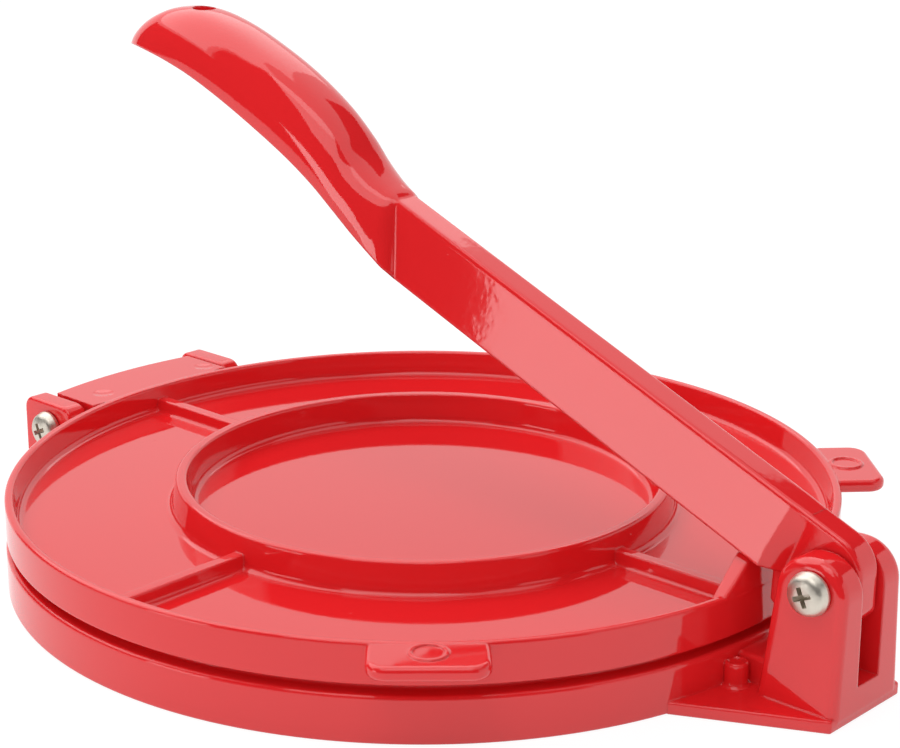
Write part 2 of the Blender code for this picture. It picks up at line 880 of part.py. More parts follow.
def make_washer(name, axis, face):
    seat = face + stack_gap
    profile = [
        (washer_radius, washer_thickness),
        (washer_radius, 0),
        (screw_hole_radius, 0),
        (screw_hole_radius, washer_thickness),
        (washer_radius, washer_thickness),
    ]
    washer = turned(name, profile, screw_turning_steps, bright_nickel, parts)
    return settle(washer, axis, (0, seat, 0), (-math.pi / 2, 0, 0))


def make_nut(name, axis, seat):
    """Lock nut: a hexagon with a round collar on its outer face."""
    height = nut_height - nut_collar_height
    nut = hexagon_solid(name, nut_across_flats, height, parts)
    settle(nut, axis, (0, seat, 0), (-math.pi / 2, 0, 0))
    collar = rod(f"{name}_collar", nut_collar_radius, 2 * nut_collar_height, cutters)
    settle(collar, axis, (0, seat + height, 0), (-math.pi / 2, 0, 0))
    join(nut, collar)
    bore = cross_rod(f"{name}_bore", screw_hole_radius, 4 * nut_height, cutters)
    settle(bore, axis, (0, seat, 0))
    cut(nut, bore)
    return nut


def make_fasteners():
    """The lever's bolt ends in its nut pocket, the hinge's in a washer and nut on the far ear."""
    pocket_seat = nut_pocket_floor + stack_gap
    make_screw("lever_bolt", lever_axis, clevis_face, pocket_seat)
    make_nut("lever_lock_nut", lever_axis, pocket_seat)
    ear_seat = hinge_ear_outer + washer_thickness + 2 * stack_gap
    make_screw("hinge_bolt", hinge_axis, hinge_ear_outer, ear_seat)
    make_washer("hinge_washer", hinge_axis, hinge_ear_outer)
    make_nut("hinge_lock_nut", hinge_axis, ear_seat)


make_base()
make_upper_plate()
make_lever()
make_fasteners()
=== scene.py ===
"""Looks of an eight inch tortilla press in red enamelled cast aluminium, around its packed frame.

Sizes are in metres. Turned and drawn shapes are laid out about the centre of the round plates,
with z = 0 on the table, and are then moved to their place in the frame.
"""

import json
import math

import bmesh
import bpy
from bpy.props import FloatProperty, IntProperty, PointerProperty, StringProperty
from bpy.types import Operator, Panel, PropertyGroup
from mathutils import Matrix, Vector


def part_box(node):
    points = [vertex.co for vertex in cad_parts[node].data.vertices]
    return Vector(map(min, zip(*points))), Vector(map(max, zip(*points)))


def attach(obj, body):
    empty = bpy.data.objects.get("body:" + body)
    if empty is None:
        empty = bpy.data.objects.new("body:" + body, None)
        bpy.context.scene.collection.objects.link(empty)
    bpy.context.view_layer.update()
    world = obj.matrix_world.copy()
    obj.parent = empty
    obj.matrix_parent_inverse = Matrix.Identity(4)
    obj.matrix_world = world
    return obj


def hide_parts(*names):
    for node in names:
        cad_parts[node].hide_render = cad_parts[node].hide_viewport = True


bl_info = {
    "name": "Tortilla Press",
    "version": (1, 0, 0),
    "blender": (4, 5, 0),
    "location": "3D View > Sidebar > Tortilla Press",
    "description": "Makes an enamelled cast tortilla press, its bolts and a plain studio",
    "category": "Add Mesh",
}

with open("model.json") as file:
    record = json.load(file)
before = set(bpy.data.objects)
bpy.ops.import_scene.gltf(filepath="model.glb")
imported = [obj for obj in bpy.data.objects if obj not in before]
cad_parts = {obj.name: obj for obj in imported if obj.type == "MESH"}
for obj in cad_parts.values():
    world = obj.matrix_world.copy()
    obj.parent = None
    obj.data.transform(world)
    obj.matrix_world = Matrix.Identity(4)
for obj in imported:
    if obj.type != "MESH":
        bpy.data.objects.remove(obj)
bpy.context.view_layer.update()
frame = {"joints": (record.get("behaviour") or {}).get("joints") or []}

# Places that the frame gives
joint_places = {joint["name"]: Vector(joint["pos_m"]) for joint in frame["joints"]}
lever_pin = joint_places["lever_swing"]
hinge_pin = joint_places["upper_plate_hinge"]
base_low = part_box("base")[0]
plate_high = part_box("upper_plate")[1]

# Room between the pieces: round a pin, round the recessed nut, beside the knuckle and between
# the plate's rim and the hinge ears
bore_clearance = 0.0002
pocket_clearance = 0.0004
ear_gap = 0.0012
rim_swing_gap = 0.0020

# How far the cutters of bores reach to each side
bore_reach = 0.06

# Facets round small turned shapes
rod_steps = 40
ring_steps = 48
bolt_steps = 56

# Edges sharper than the first are eased by a bevel, those sharper than the second stay creased
eased_angle = math.radians(40)
creased_angle = math.radians(32)


def metres(name, description, default):
    return FloatProperty(name=name, description=description, default=default, unit="LENGTH", precision=5)


def degrees(name, description, default):
    turn = math.radians(default)
    return FloatProperty(name=name, description=description, default=turn, unit="ROTATION")


# Sizes that a user would change


class BaseSizes(PropertyGroup):
    """Lower casting"""

    radius: metres("Radius", "Outer radius of the base rim", 0.1042)
    platform_radius: metres("Platform radius", "Radius of the raised pressing platform", 0.1000)
    shoulder: metres("Shoulder height", "Height of the shoulder round the platform", 0.0112)
    platform: metres("Platform height", "Height of the pressing platform", 0.0132)
    web: metres("Web", "Thickness of the platform's web", 0.0038)
    wall: metres("Wall", "Thickness of the rim wall", 0.0030)
    hinge_reach: metres("Hinge reach", "Plate centre to the outer face of the hinge ears", 0.1232)
    ear_width: metres("Ear width", "Width of one hinge ear", 0.0062)
    ear_edge: metres("Ear edge", "Radius of the eased edges of the hinge ears", 0.0010)
    sill: metres("Sill height", "Height of the sill between the hinge ears", 0.0030)
    clevis_reach: metres("Clevis reach", "Plate centre to the outer face of the clevis", 0.1315)
    clevis_foot: metres("Clevis foot", "Half width of the clevis at its foot", 0.0132)
    clevis_head: metres("Clevis head", "Half width of the clevis at its head", 0.0114)
    clevis_foot_length: metres("Clevis foot length", "Length of the clevis at its foot", 0.0208)
    clevis_waist: metres("Clevis waist", "Length of the clevis under its round head", 0.0170)
    clevis_rise: metres("Clevis rise", "Height of the clevis head over the pin", 0.0070)
    clevis_round: metres("Clevis round", "Radius of the clevis head's two corners", 0.0084)
    slot: metres("Slot", "Half width of the slot for the lever at its floor", 0.0041)
    slot_floor: metres("Slot floor", "Height of the slot's floor", 0.0080)
    apron: metres("Apron", "Height of the flat apron that carries the clevis", 0.0030)
    apron_spread: degrees("Apron spread", "Half angle over which the apron leaves the rim", 16.5)
    edge: metres("Edge radius", "Radius of the eased outer edges of the clevis", 0.0024)


class PlateSizes(PropertyGroup):
    """Upper casting"""

    radius: metres("Radius", "Outer radius of the rim", 0.1040)
    web: metres("Web", "Thickness of the pressing plate", 0.0029)
    rim_height: metres("Rim height", "Height of the rim over the pressing face", 0.0098)
    rim_land: metres("Rim land", "Width of the top of the rim", 0.0021)
    ring_radius: metres("Ring radius", "Outer radius of the stiffening ring", 0.0621)
    ring_land: metres("Ring land", "Width of the top of the ring", 0.0026)
    ring_rise: metres("Ring rise", "Height of the ring over the rim", 0.0008)
    draft: metres("Draft", "How far the ring's sides spread to its foot", 0.0013)
    rib_height: metres("Rib height", "Height of the four ribs over the floor", 0.0034)
    rib_width: metres("Rib width", "Width of a rib at its top", 0.0030)
    knuckle: metres("Knuckle", "Half width of the hinge knuckle", 0.0240)
    knuckle_reach: metres("Knuckle reach", "Plate centre to the outer edge of the knuckle", 0.1203)
    knuckle_drop: metres("Knuckle drop", "Foot of the knuckle below the hinge pin", 0.0055)
    tab_angle: degrees("Tab angle", "Angle from the lever to each lift tab", 46.3)
    tab_width: metres("Tab width", "Width of a lift tab", 0.0262)
    tab_reach: metres("Tab reach", "How far a lift tab stands out of the rim", 0.0115)
    tab_thickness: metres("Tab thickness", "Thickness of a lift tab", 0.0033)
    pad_top: metres("Pad top", "Half width of the contact pad's top", 0.0055)
    pad_foot: metres("Pad foot", "Half width of the contact pad's foot", 0.0145)
    edge: metres("Edge radius", "Radius of the rim's and ring's eased edges", 0.0008)
    fillet: metres("Fillet radius", "Radius between the floor and what stands on it", 0.0018)


class LeverSizes(PropertyGroup):
    """Lever casting, from its pin: along the beam, and above or below the pin"""

    angle: degrees("Rest angle", "Angle of the beam over the table at rest", 22.0)
    length: metres("Length", "Pin to the tip of the grip", 0.2475)
    rise: metres("Beam rise", "Top of the beam above the pin line", 0.0098)
    drop: metres("Beam drop", "Foot of the beam below the pin line", 0.0061)
    top: metres("Beam top", "Half width of the beam's top", 0.0037)
    foot: metres("Beam foot", "Half width of the beam's foot", 0.0078)
    wall: metres("Wall", "Thickness of the lever's walls", 0.0030)
    tongue: metres("Tongue", "Half width of the tongue between the clevis ears", 0.0037)
    nose: metres("Nose radius", "Radius of the tongue's nose over the pin", 0.0088)
    grip_rise: metres("Grip rise", "Crown of the grip above the pin line", 0.0227)
    grip_width: metres("Grip half width", "Half width of the grip", 0.0122)
    hole: metres("Hanging hole", "Radius of the hanging hole", 0.0031)


class BoltSizes(PropertyGroup):
    """Pin bolts, lock nuts and washer, metric M5"""

    radius: metres("Bolt radius", "Radius of the shank", 0.0025)
    head: metres("Head radius", "Radius of the pan head", 0.0050)
    head_height: metres("Head height", "Height of the pan head", 0.0037)
    washer: metres("Washer radius", "Outer radius of the washer", 0.0050)
    washer_thickness: metres("Washer thickness", "Thickness of the washer", 0.0010)
    flats: metres("Nut flats", "Width of a nut across its flats", 0.0080)
    nut_height: metres("Nut height", "Height of a lock nut with its collar", 0.0036)
    pitch: metres("Thread pitch", "Pitch of the thread", 0.0008)
    gap: metres("Seat gap", "Gap between a piece and its seat", 0.0003)


class Finish(PropertyGroup):
    """Colours and surface of the finishes"""

    enamel: StringProperty(name="Enamel", description="Colour of the enamel, sRGB hex", default="EC2529")
    nickel: StringProperty(name="Nickel", description="Colour of the nickel, sRGB hex", default="DDD5C8")
    peel_mm: FloatProperty(name="Peel", description="Size of the enamel's orange peel in mm", default=1.2)
    peel_height_mm: FloatProperty(name="Peel height", description="Its height in mm", default=0.0035)
    steps: IntProperty(name="Turning steps", description="Facets round a turned casting", default=192)


def sizes(name):
    return getattr(bpy.context.scene, name)


def turning_steps():
    return sizes("press_finish").steps


def disc_x():
    """World x of the centre of the round plates."""
    return base_low.x + sizes("press_base").hinge_reach


# Shape tools


def eased(corners, arc_steps=6):
    """A path whose corners (a, b, radius) are eased with arcs; zero keeps a corner sharp."""
    points = []
    last = len(corners) - 1
    for index, (a, b, radius) in enumerate(corners):
        here = Vector((a, b))
        if radius == 0 or index in (0, last):
            points.append(here)
            continue
        before = (Vector(corners[index - 1][:2]) - here).normalized()
        after = (Vector(corners[index + 1][:2]) - here).normalized()
        half = before.angle(after) / 2
        centre = here + (before + after).normalized() * radius / math.sin(half)
        start = here + before * radius / math.tan(half) - centre
        sweep = math.copysign(math.pi - 2 * half, before.cross(after))
        for step in range(arc_steps + 1):
            points.append(centre + Matrix.Rotation(-sweep * step / arc_steps, 2) @ start)
    return points


def eased_ring(corners, arc_steps=6):
    """The same for a closed outline."""
    return eased([corners[-1], *corners, corners[0]], arc_steps)[1:-1]


def rectangle(near, far, half):
    """Outline from x = near to x = far, half its width to each side of the middle."""
    return [(near, -half), (far, -half), (far, half), (near, half)]


def hexagon(flats):
    """Corners of a hexagon by its width across the flats."""
    corner = flats / math.sqrt(3)
    turns = [math.radians(60 * side) for side in range(6)]
    return [(corner * math.cos(turn), corner * math.sin(turn)) for turn in turns]


def new_object(name, data):
    made = bpy.data.objects.new(name, data)
    bpy.context.scene.collection.objects.link(made)
    return made


def from_work(name, work):
    """A new object from a bmesh, with its faces pointing out."""
    bmesh.ops.recalc_face_normals(work, faces=work.faces)
    mesh = bpy.data.meshes.new(name)
    work.to_mesh(mesh)
    work.free()
    return new_object(name, mesh)


def turned(name, profile, steps):
    """A closed solid turned about Z from a half section (radius, height)."""
    work = bmesh.new()
    rows = []
    for radius, height in profile:
        if radius < 1e-7:
            rows.append([work.verts.new((0, 0, height))])
            continue
        row = []
        for step in range(steps):
            turn = 2 * math.pi * step / steps
            row.append(work.verts.new((radius * math.cos(turn), radius * math.sin(turn), height)))
        rows.append(row)
    for before, after in zip(rows, rows[1:]):
        for step in range(steps):
            other = (step + 1) % steps
            corners = [before[step % len(before)], after[step % len(after)]]
            if len(after) > 1:
                corners.append(after[other])
            if len(before) > 1:
                corners.append(before[other])
            work.faces.new(corners)
    return from_work(name, work)


def through(name, rows, tip=None):
    """A closed solid through rows of points that each go once round; it may end in a tip."""
    work = bmesh.new()
    rows = [[work.verts.new(point) for point in row] for row in rows]
    for before, after in zip(rows, rows[1:]):
        for index in range(len(before)):
            other = (index + 1) % len(before)
            work.faces.new((before[index], before[other], after[other], after[index]))
    work.faces.new(rows[0])
    end = rows[-1]
    if tip:
        point = work.verts.new(tip)
        for index in range(len(end)):
            work.faces.new((end[index], point, end[(index + 1) % len(end)]))
    else:
        work.faces.new(end)
    return from_work(name, work)


def slab(name, outline, low, high):
    """An outline in XY, extruded from z = low to z = high."""
    return through(name, [[(x, y, z) for x, y in outline] for z in (low, high)])


def moved(piece, x=0.0, y=0.0, z=0.0):
    piece.data.transform(Matrix.Translation((x, y, z)))
    return piece


def spun(piece, turn, axis="Z"):
    piece.data.transform(Matrix.Rotation(turn, 4, axis))
    return piece


def upright(piece):
    """Turn a slab so that its outline lies in XZ and its thickness along Y."""
    return spun(piece, math.pi / 2, "X")


def rod(name, radius, low, high, steps):
    """A plain round cutter about Z."""
    return turned(name, [(0, high), (radius, high), (radius, low), (0, low)], steps)


def pin_bore(name, pin):
    """A round cutter along Y: the bore for a pin of the frame."""
    radius = sizes("press_bolts").radius + bore_clearance
    return moved(upright(rod(name, radius, -bore_reach, bore_reach, rod_steps)), *pin)


def applied(piece):
    """The piece with its modifiers applied to its mesh."""
    bpy.context.view_layer.update()
    graph = bpy.context.evaluated_depsgraph_get()
    mesh = bpy.data.meshes.new_from_object(piece.evaluated_get(graph))
    piece.modifiers.clear()
    piece.data = mesh
    return piece


def bevelled(piece, width, segments):
    ease = piece.modifiers.new("eased_edges", "BEVEL")
    ease.width = width
    ease.segments = segments
    ease.limit_method = "ANGLE"
    ease.angle_limit = eased_angle
    return applied(piece)


def combined(piece, tools, operation):
    """The piece after an exact Boolean with each tool; the tools are used up."""
    for tool in tools:
        step = piece.modifiers.new(tool.name, "BOOLEAN")
        step.operation = operation
        step.solver = "EXACT"
        step.object = tool
    applied(piece)
    for tool in tools:
        bpy.data.objects.remove(tool, do_unlink=True)
    return piece


def drafted(piece, low, high, foot_half, head_half):
    """Draft the side faces of an upright solid from foot_half at low to head_half at high."""
    for vertex in piece.data.vertices:
        rise = (vertex.co.z - low) / (high - low)
        vertex.co.y = math.copysign(foot_half + (head_half - foot_half) * rise, vertex.co.y)
    return piece


def finished(piece, body, node, material):
    """Shade the piece, give it its finish and tie it to its body in the frame."""
    mesh = piece.data
    mesh.materials.clear()
    mesh.materials.append(material)
    mesh.shade_smooth()
    mesh.set_sharp_from_angle(angle=creased_angle)
    weighted = piece.modifiers.new("even_shading", "WEIGHTED_NORMAL")
    weighted.mode = "FACE_AREA"
    weighted.keep_sharp = True
    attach(piece, body)
    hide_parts(node)
    return piece


# Materials

# Sizes of the patterns are given in millimetres
mm = 0.001

# How strong the orange peel is on the round castings, and on the lever, whose coat ran most
plate_peel = 1.0
lever_peel = 3.6


def linear(hex_colour):
    """An sRGB hex colour as linear values with alpha."""
    channels = [int(hex_colour[place:place + 2], 16) / 255 for place in (0, 2, 4)]
    return tuple(
        value / 12.92 if value <= 0.04045 else ((value + 0.055) / 1.055) ** 2.4 for value in channels
    ) + (1.0,)


def add_node(tree, kind, settings=None, links=None):
    """A node with its settings; a links entry is an input name and the socket that feeds it."""
    node = tree.nodes.new(kind)
    for key, value in (settings or {}).items():
        if isinstance(key, str) and hasattr(node, key):
            setattr(node, key, value)
        else:
            node.inputs[key].default_value = value
    for key, socket in (links or {}).items():
        tree.links.new(socket, node.inputs[key])
    return node


def new_material(name):
    material = bpy.data.materials.new(name)
    material.use_nodes = True
    tree = material.node_tree
    tree.nodes.clear()
    return material, tree


def dust_specks(tree, place):
    """1 at a speck of dust and 0 elsewhere; the specks lie about 14 mm apart."""
    cells = add_node(tree, "ShaderNodeTexVoronoi", {"Scale": 1 / (14 * mm)}, {"Vector": place})
    fade = {"From Max": 0.020, "To Min": 1.0, "To Max": 0.0, "interpolation_type": "SMOOTHSTEP"}
    links = {"Value": cells.outputs["Distance"]}
    return add_node(tree, "ShaderNodeMapRange", fade, links).outputs["Result"]


def bumped(tree, height, distance, normal):
    """The normal after a bump whose height is a distance in metres."""
    settings = {"Strength": 1.0, "Distance": distance}
    links = {"Height": height, "Normal": normal}
    return add_node(tree, "ShaderNodeBump", settings, links).outputs["Normal"]


def enamel_material(name, peel_share):
    """Glossy enamel, sprayed and baked on cast aluminium: a bright red with a hard, deep gloss.

    The thick coat rounds every inside and outside corner, which the rounded normal gives. It sags a
    little over 60 mm, its faint orange peel ripples the edges of reflections, and a few specks of
    dust lie in it. The red is a touch deeper where the coat is thick.
    """
    finish = sizes("press_finish")
    material, tree = new_material(name)
    place = add_node(tree, "ShaderNodeTexCoord").outputs["Object"]
    peel = add_node(
        tree,
        "ShaderNodeTexNoise",
        {"Scale": 1 / (2 * finish.peel_mm * mm), "Detail": 1.5, "Roughness": 0.45},
        {"Vector": place},
    ).outputs["Fac"]
    sag = add_node(
        tree, "ShaderNodeTexNoise", {"Scale": 1 / (60 * mm), "Detail": 1.0}, {"Vector": place}
    ).outputs["Fac"]
    rounded = add_node(tree, "ShaderNodeBevel", {"samples": 6, "Radius": 0.7 * mm}).outputs["Normal"]
    sagged = bumped(tree, sag, 0.12 * mm, rounded)
    peeled = bumped(tree, peel, finish.peel_height_mm * mm * peel_share, sagged)
    specked = bumped(tree, dust_specks(tree, place), 0.06 * mm, peeled)
    red = linear(finish.enamel)
    deeper = tuple(value * 0.93 for value in red[:3]) + (1.0,)
    tone = add_node(tree, "ShaderNodeMix", {"data_type": "RGBA", 6: deeper, 7: red}, {"Factor": sag})
    shader = add_node(
        tree,
        "ShaderNodeBsdfPrincipled",
        {"Roughness": 0.05, "IOR": 1.62},
        {"Base Color": tone.outputs[2], "Normal": specked},
    )
    add_node(tree, "ShaderNodeOutputMaterial", None, {"Surface": shader.outputs["BSDF"]})
    return material


def nickel_material(name):
    """Nickel plated steel, barrel plated and handled: a warm grey metal with a satin, slightly
    mottled gloss. The mottle is about 1.2 mm wide."""
    finish = sizes("press_finish")
    material, tree = new_material(name)
    place = add_node(tree, "ShaderNodeTexCoord").outputs["Object"]
    mottle = add_node(
        tree,
        "ShaderNodeTexNoise",
        {"Scale": 1 / (1.2 * mm), "Detail": 4.0, "Roughness": 0.6},
        {"Vector": place},
    ).outputs["Fac"]
    gloss = add_node(
        tree,
        "ShaderNodeMapRange",
        {"From Min": 0.3, "From Max": 0.7, "To Min": 0.36, "To Max": 0.50},
        {"Value": mottle},
    )
    dents = add_node(
        tree, "ShaderNodeBump", {"Strength": 0.6, "Distance": 0.04 * mm}, {"Height": mottle}
    )
    shader = add_node(
        tree,
        "ShaderNodeBsdfPrincipled",
        {"Base Color": linear(finish.nickel), "Metallic": 1.0},
        {"Roughness": gloss.outputs["Result"], "Normal": dents.outputs["Normal"]},
    )
    add_node(tree, "ShaderNodeOutputMaterial", None, {"Surface": shader.outputs["BSDF"]})
    return material


# Base

# Ribs start a little inside the ring. The side of a rib is given in shares of its flare: out from
# the edge of its top, and up from its root or down from its top
rib_overlap = 0.001
rib_root_shares = ((2.1, -0.2), (1.3, 0.06), (0.75, 0.45), (0.5, 1.0))
rib_top_shares = ((0.1, 0.25), (-0.1, 0.07), (-0.3, 0.0))
base_rib_half, base_rib_flare = 0.0020, 0.0012
plate_rib_flare = 0.0011

# Radius of the fine eased edges, width of the slot's mouth as a share of its floor's, and points
# on the apron's arc inside the wall
fine_edge = 0.0005
slot_spread = 1.07
apron_points = 12

# The neck between the base's wall and the clevis
neck_end, neck_half = 0.1145, 0.0090
neck_low, neck_top = 0.0005, 0.0095

# Ejector posts beside the neck: their place, and the radius, height and ease of their corners
post_x, post_y = 0.1053, 0.0118
post_corners = (
    (0, 0.0082, 0), (0.0017, 0.0082, 0.0003), (0.0019, 0.0086, 0.0003), (0.0027, 0.0086, 0.0005),
    (0.0027, 0.0036, 0.0007), (0.0036, 0.0028, 0), (0, 0.0028, 0),
)


def base_section():
    """Half section of the base: platform, shoulder, rim and the hollow underside with its ring.

    Each row is a radius, a height and the ease of that corner."""
    size = sizes("press_base")
    ring = sizes("press_plate")
    inner = size.radius - size.wall
    ceiling = size.platform - size.web
    shoulder_ceiling = size.shoulder - size.web
    step = size.platform_radius - size.web
    foot = size.web
    inside = ring.ring_radius - ring.ring_land
    return eased([
        (0, size.platform, 0),
        (size.platform_radius, size.platform, 0.0007),
        (size.platform_radius + 0.0001, size.shoulder, 0.0006),
        (size.radius, size.shoulder, 0.0010),
        (size.radius, 0, 0.0006),
        (inner, 0, 0.0006),
        (inner - 0.0002, shoulder_ceiling, 0.0016),
        (step + 0.0003, shoulder_ceiling, 0.0008),
        (step, ceiling, 0.0008),
        (ring.ring_radius + ring.draft, ceiling, 0.0016),
        (ring.ring_radius, foot, 0.0006),
        (inside, foot, 0.0006),
        (inside - ring.draft, ceiling, 0.0016),
        (0, ceiling, 0),
    ])


def four_ribs(name, end, root, top, half_top, flare):
    """Four radial ribs from the ring to the rim, whose sides flare out in a fillet at their root."""
    start = sizes("press_plate").ring_radius - rib_overlap
    up = math.copysign(flare, top - root)
    half = [(half_top + flare * out, root + up * rise) for out, rise in rib_root_shares]
    half += [(half_top + flare * out, top - up * fall) for out, fall in rib_top_shares]
    section = half + [(-y, z) for y, z in reversed(half)]
    rows = [[(x, y, z) for y, z in section] for x in (start, end)]
    return [spun(through(name, rows), index * math.pi / 2) for index in range(4)]


def slot_cutter(top):
    """The lever's slot through the clevis, a little wider at its open end."""
    size = sizes("press_base")
    mouth = size.slot * slot_spread
    past = top + 0.005
    outline = [(-mouth, past), (mouth, past), (size.slot, size.slot_floor), (-size.slot, size.slot_floor)]
    slot = upright(slab("clevis_slot", outline, -0.03, 0.03))
    return moved(spun(slot, math.pi / 2), x=size.clevis_reach)


def nut_pocket():
    """The hexagonal recess for the lever's lock nut, open to +Y."""
    nut = sizes("press_bolts")
    pocket = slab("nut_pocket", hexagon(nut.flats + 2 * pocket_clearance), 0, 0.01)
    floor_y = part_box("lever_lock_nut")[0].y - nut.gap
    return moved(spun(pocket, -math.pi / 2, "X"), lever_pin.x - disc_x(), floor_y, lever_pin.z)


def clevis_solid():
    """Block with a round head, draft, soft outer edges, the lever's slot and the nut's recess."""
    size = sizes("press_base")
    top = lever_pin.z + size.clevis_rise
    outline = eased_ring([
        (size.clevis_reach, 0, 0),
        (size.clevis_reach, top, size.clevis_round),
        (size.clevis_reach - size.clevis_waist, top, size.clevis_round),
        (size.clevis_reach - size.clevis_foot_length, 0, 0),
    ], 14)
    clevis = upright(slab("clevis", outline, -0.5, 0.5))
    drafted(clevis, 0, top, size.clevis_foot, size.clevis_head)
    bevelled(clevis, size.edge, 6)
    combined(clevis, [slot_cutter(top), nut_pocket()], "DIFFERENCE")
    return bevelled(clevis, fine_edge, 3)


def clevis_foot_solids():
    """Apron, neck and the two ejector posts that stand on the apron."""
    size = sizes("press_base")
    spread = size.apron_spread
    mid_wall = size.radius - size.wall / 2
    corner = (size.clevis_reach - 0.0002, size.clevis_foot + 0.0003)
    tip = (size.radius * math.cos(spread), size.radius * math.sin(spread))
    outline = [corner, tip]
    for step in range(apron_points + 1):
        turn = spread * (1 - 2 * step / apron_points)
        outline.append((mid_wall * math.cos(turn), mid_wall * math.sin(turn)))
    outline += [(tip[0], -tip[1]), (corner[0], -corner[1])]
    apron = bevelled(slab("apron", outline, 0, size.apron), fine_edge, 3)
    neck = slab("neck", rectangle(mid_wall, neck_end, neck_half), neck_low, neck_top)
    solids = [apron, bevelled(neck, 0.0010, 3)]
    for side in (-1, 1):
        post = turned("ejector_post", eased(post_corners, 4), rod_steps)
        solids.append(moved(post, x=post_x, y=side * post_y))
    return solids


def hinge_ear_solids():
    """Two ears, as high as the plate's rim and rooted in the base's, and the sill between them."""
    size = sizes("press_base")
    plate = sizes("press_plate")
    inside = plate.knuckle + ear_gap
    outside = inside + size.ear_width
    nose = math.sqrt((plate.radius + rim_swing_gap) ** 2 - inside ** 2)
    root = math.sqrt((size.radius - size.wall / 4) ** 2 - outside ** 2)
    root_top = size.shoulder - 0.0006
    top = plate_levels()[2]
    solids = []
    for side in (-1, 1):
        outline = eased_ring([
            (-size.hinge_reach, 0, 0),
            (-root, 0, 0),
            (-root, root_top, 0),
            (-nose, root_top, 0.0016),
            (-nose, top, 0.0040),
            (-size.hinge_reach, top, 0.0034),
        ], 10)
        ear = upright(slab("hinge_ear", outline, -size.ear_width / 2, size.ear_width / 2))
        moved(ear, y=side * (inside + size.ear_width / 2))
        solids.append(bevelled(ear, size.ear_edge, 4))
    sill_outline = rectangle(0.0015 - size.hinge_reach, size.wall / 2 - size.radius, inside + 0.001)
    sill = slab("sill", sill_outline, 0.0002, size.sill)
    return [*solids, bevelled(sill, fine_edge, 2)]


def make_base(material):
    size = sizes("press_base")
    base = turned("base_casting", base_section(), turning_steps())
    rib_end = size.radius - size.wall / 2
    rib_root = (size.shoulder + size.platform - size.web) / 2
    tools = four_ribs("underside_rib", rib_end, rib_root, size.web, base_rib_half, base_rib_flare)
    tools += [clevis_solid(), *clevis_foot_solids(), *hinge_ear_solids()]
    combined(base, tools, "UNION")
    moved(base, x=disc_x())
    bores = [pin_bore("lever_bore", lever_pin), pin_bore("hinge_bore", hinge_pin)]
    combined(base, bores, "DIFFERENCE")
    return finished(base, "base_body", "base", material)


# Upper plate

# What is let into the rim or ends flush with it stays this far below its top or inside its edge
flush_step = 0.0001
tab_step = 0.0002

# Round dents that the mould's pins leave on the knuckle: their places, radius and depth
mark_places = ((-0.1085, -0.0152), (-0.1068, 0.0204))
mark_radius, mark_depth = 0.0030, 0.00035

# The raised ring on a lift tab: its place, and the radius, height and ease of its corners
tab_ring_place = 0.1079
tab_ring_corners = (
    (0.0031, -0.001, 0), (0.0034, 0.00045, 0.0003), (0.0043, 0.00045, 0.0003),
    (0.0047, -0.001, 0), (0.0031, -0.001, 0),
)

# The contact pad stands this far in from the rim, and is trimmed from a blank of this half length
pad_depth = 0.00225
pad_blank = 0.01


def plate_levels():
    """Underside, floor and rim top of the upper plate."""
    size = sizes("press_plate")
    underside = sizes("press_base").platform + sizes("press_bolts").gap
    return underside, underside + size.web, underside + size.rim_height


def plate_section():
    """Half section of the upper plate: centre field, ring, outer field, rim and flat underside."""
    size = sizes("press_plate")
    underside, floor, top = plate_levels()
    inside = size.ring_radius - size.ring_land
    rim_inner = size.radius - size.rim_land
    ring_top = top + size.ring_rise
    return eased([
        (0, floor, 0),
        (inside - size.draft, floor, size.fillet),
        (inside, ring_top, size.edge),
        (size.ring_radius, ring_top, size.edge),
        (size.ring_radius + size.draft, floor, size.fillet),
        (rim_inner - size.edge, floor, size.fillet),
        (rim_inner, top, size.edge),
        (size.radius, top, size.edge),
        (size.radius, underside, 0.0006),
        (0, underside, 0),
    ], 8)


def ejector_marks(top):
    marks = []
    for x, y in mark_places:
        shares = [step / 8 for step in range(9)]
        bowl = [(mark_radius * share, top - mark_depth * (1 - share ** 2)) for share in shares]
        profile = [*bowl, (mark_radius, top + 0.001), (0, top + 0.001)]
        marks.append(moved(turned("ejector_mark", profile, rod_steps), x=x, y=y))
    return marks


def knuckle_solid():
    """Knuckle flush with the rim, bulged under the pin, its outer edge an arc about the plate."""
    size = sizes("press_plate")
    underside, _, rim_top = plate_levels()
    top = rim_top - flush_step
    low = hinge_pin.z - size.knuckle_drop
    inner_end = size.radius - size.rim_land
    blank_end = size.knuckle_reach + 0.004
    toe = hinge_pin.x - disc_x() + 0.0030
    outline = eased_ring([
        (-inner_end, underside + 0.0002, 0),
        (-inner_end, top, 0),
        (-blank_end, top, 0),
        (-blank_end, low, 0),
        (toe, low, 0.0030),
        (-size.radius - 0.0012, underside + 0.0002, 0),
    ], 8)
    knuckle = upright(slab("knuckle", outline, -size.knuckle, size.knuckle))
    past = top + 0.01
    trim_profile = eased([
        (0, past, 0), (size.knuckle_reach, past, 0), (size.knuckle_reach, low, 0.0050), (0, low, 0),
    ], 8)
    combined(knuckle, [turned("knuckle_trim", trim_profile, 3 * turning_steps())], "INTERSECT")
    bevelled(knuckle, 0.0007, 3)
    return combined(knuckle, ejector_marks(top), "DIFFERENCE")


